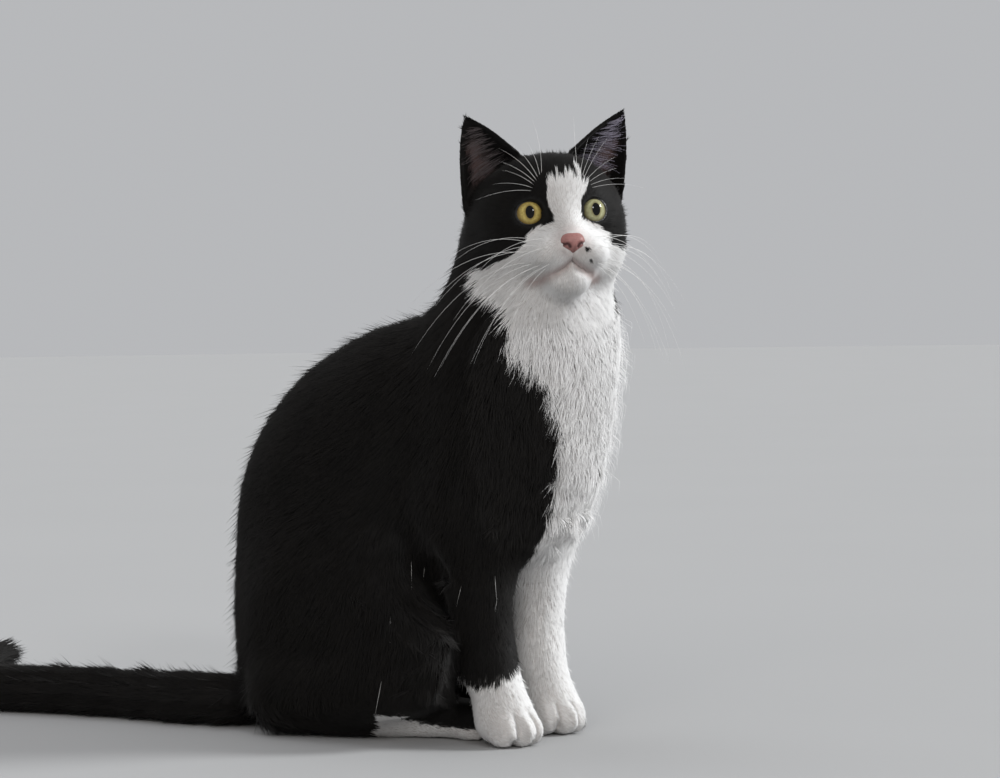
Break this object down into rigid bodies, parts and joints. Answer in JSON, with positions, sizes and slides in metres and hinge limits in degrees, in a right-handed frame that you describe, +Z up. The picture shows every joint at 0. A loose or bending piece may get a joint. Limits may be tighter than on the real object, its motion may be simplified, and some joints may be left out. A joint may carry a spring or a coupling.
{
  "type": "domestic cat",
  "caption": "Life-size still model of a sitting short-haired black-and-white cat, its head turned to its right and its tail laid along the floor.",
  "frame": {"origin": "on the floor, on the flat under the haunches, on the cat's middle plane", "axes": "+Z up, -Y the way the chest faces, -X the cat's right side; the tail runs back along +Y"},
  "size_m": [0.195, 0.5094, 0.3605],
  "materials": {
    "black_coat": "short black fur",
    "white_coat": "short white fur",
    "eye": "wet cornea over a yellow-green iris"
  },
  "bodies": {
    "root": {"torso": "black_coat", "neck": "white_coat", "head": "black_coat", "ear_right": "black_coat", "ear_left": "black_coat", "eye_right": "eye", "eye_left": "eye", "fore_leg_right": "black_coat", "fore_leg_left": "white_coat", "hind_leg_right": "black_coat", "hind_leg_left": "black_coat", "tail_1": "black_coat", "tail_2": "black_coat", "tail_3": "black_coat", "tail_4": "black_coat"}
  },
  "joints": []
}
